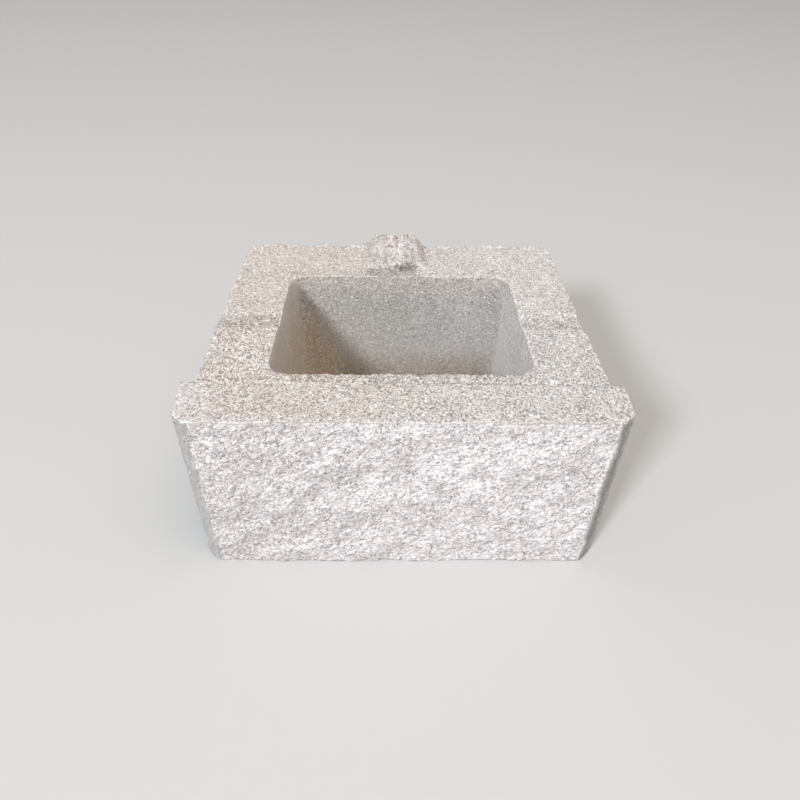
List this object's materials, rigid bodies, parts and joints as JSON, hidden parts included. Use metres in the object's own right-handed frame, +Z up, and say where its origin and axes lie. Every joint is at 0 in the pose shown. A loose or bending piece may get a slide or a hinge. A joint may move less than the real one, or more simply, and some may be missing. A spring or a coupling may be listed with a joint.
{
  "type": "split-face concrete wall block",
  "caption": "Split-faced hollow concrete block with bevelled upright edges, a tapered body round a large core and a locating lug on its rear top, laid dry in courses as a wall.",
  "frame": {"origin": "on the plane of the underside, below the middle of the block's bounding box", "axes": "+Z up through the core towards the lug, -Y out of the split face, +X to the right of someone who faces it"},
  "size_m": [0.4, 0.3, 0.215],
  "materials": {
    "concrete": "dry-cast grey concrete, open grained where moulded, rough and paler where split"
  },
  "bodies": {
    "root": {"block": "concrete"}
  },
  "joints": []
}
